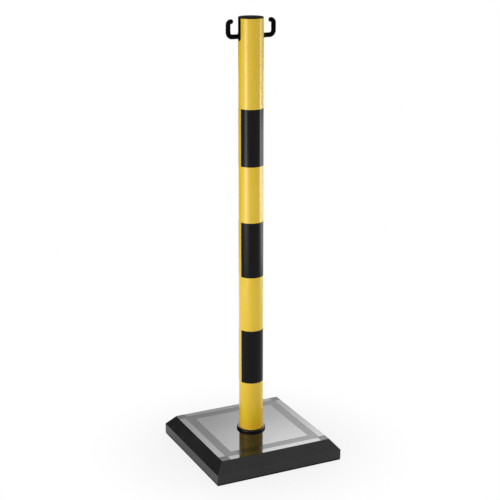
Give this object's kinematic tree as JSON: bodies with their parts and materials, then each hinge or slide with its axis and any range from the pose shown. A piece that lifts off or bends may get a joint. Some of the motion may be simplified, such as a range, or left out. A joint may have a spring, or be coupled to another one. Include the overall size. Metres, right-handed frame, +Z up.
{
  "type": "weighted base bollard",
  "caption": "Free-standing yellow and black chain post with a two-hook head, bolted to a square bevelled weighted base.",
  "frame": {"origin": "on the floor, in the middle of the base, under the post's axis", "axes": "+Z up along the post; X along the line of the two hooks; Y across it; the base's sides lie along X and Y"},
  "size_m": [0.28, 0.28, 0.905],
  "materials": {
    "shell_plastic": "gloss",
    "concrete": "matte",
    "plate_plastic": "satin",
    "zinc_steel": "satin",
    "foot_rubber": "matte",
    "collar_plastic": "satin",
    "plug_plastic": "matte",
    "post_yellow": "gloss",
    "band_film": "gloss",
    "head_plastic": "satin"
  },
  "bodies": {
    "root": {"base_shell": "shell_plastic", "ballast_block": "concrete", "base_plate": "plate_plastic", "plate_screws": "zinc_steel", "foot_front_left": "foot_rubber", "foot_front_right": "foot_rubber", "foot_back_left": "foot_rubber", "foot_back_right": "foot_rubber", "post_collar": "collar_plastic", "post_plug": "plug_plastic", "post_bolt": "zinc_steel", "lock_washer": "zinc_steel", "load_washer": "zinc_steel", "post_nut": "zinc_steel", "post_tube": "post_yellow", "band_lower": "band_film", "band_middle": "band_film", "band_upper": "band_film", "hook_head": "head_plastic"}
  },
  "joints": []
}
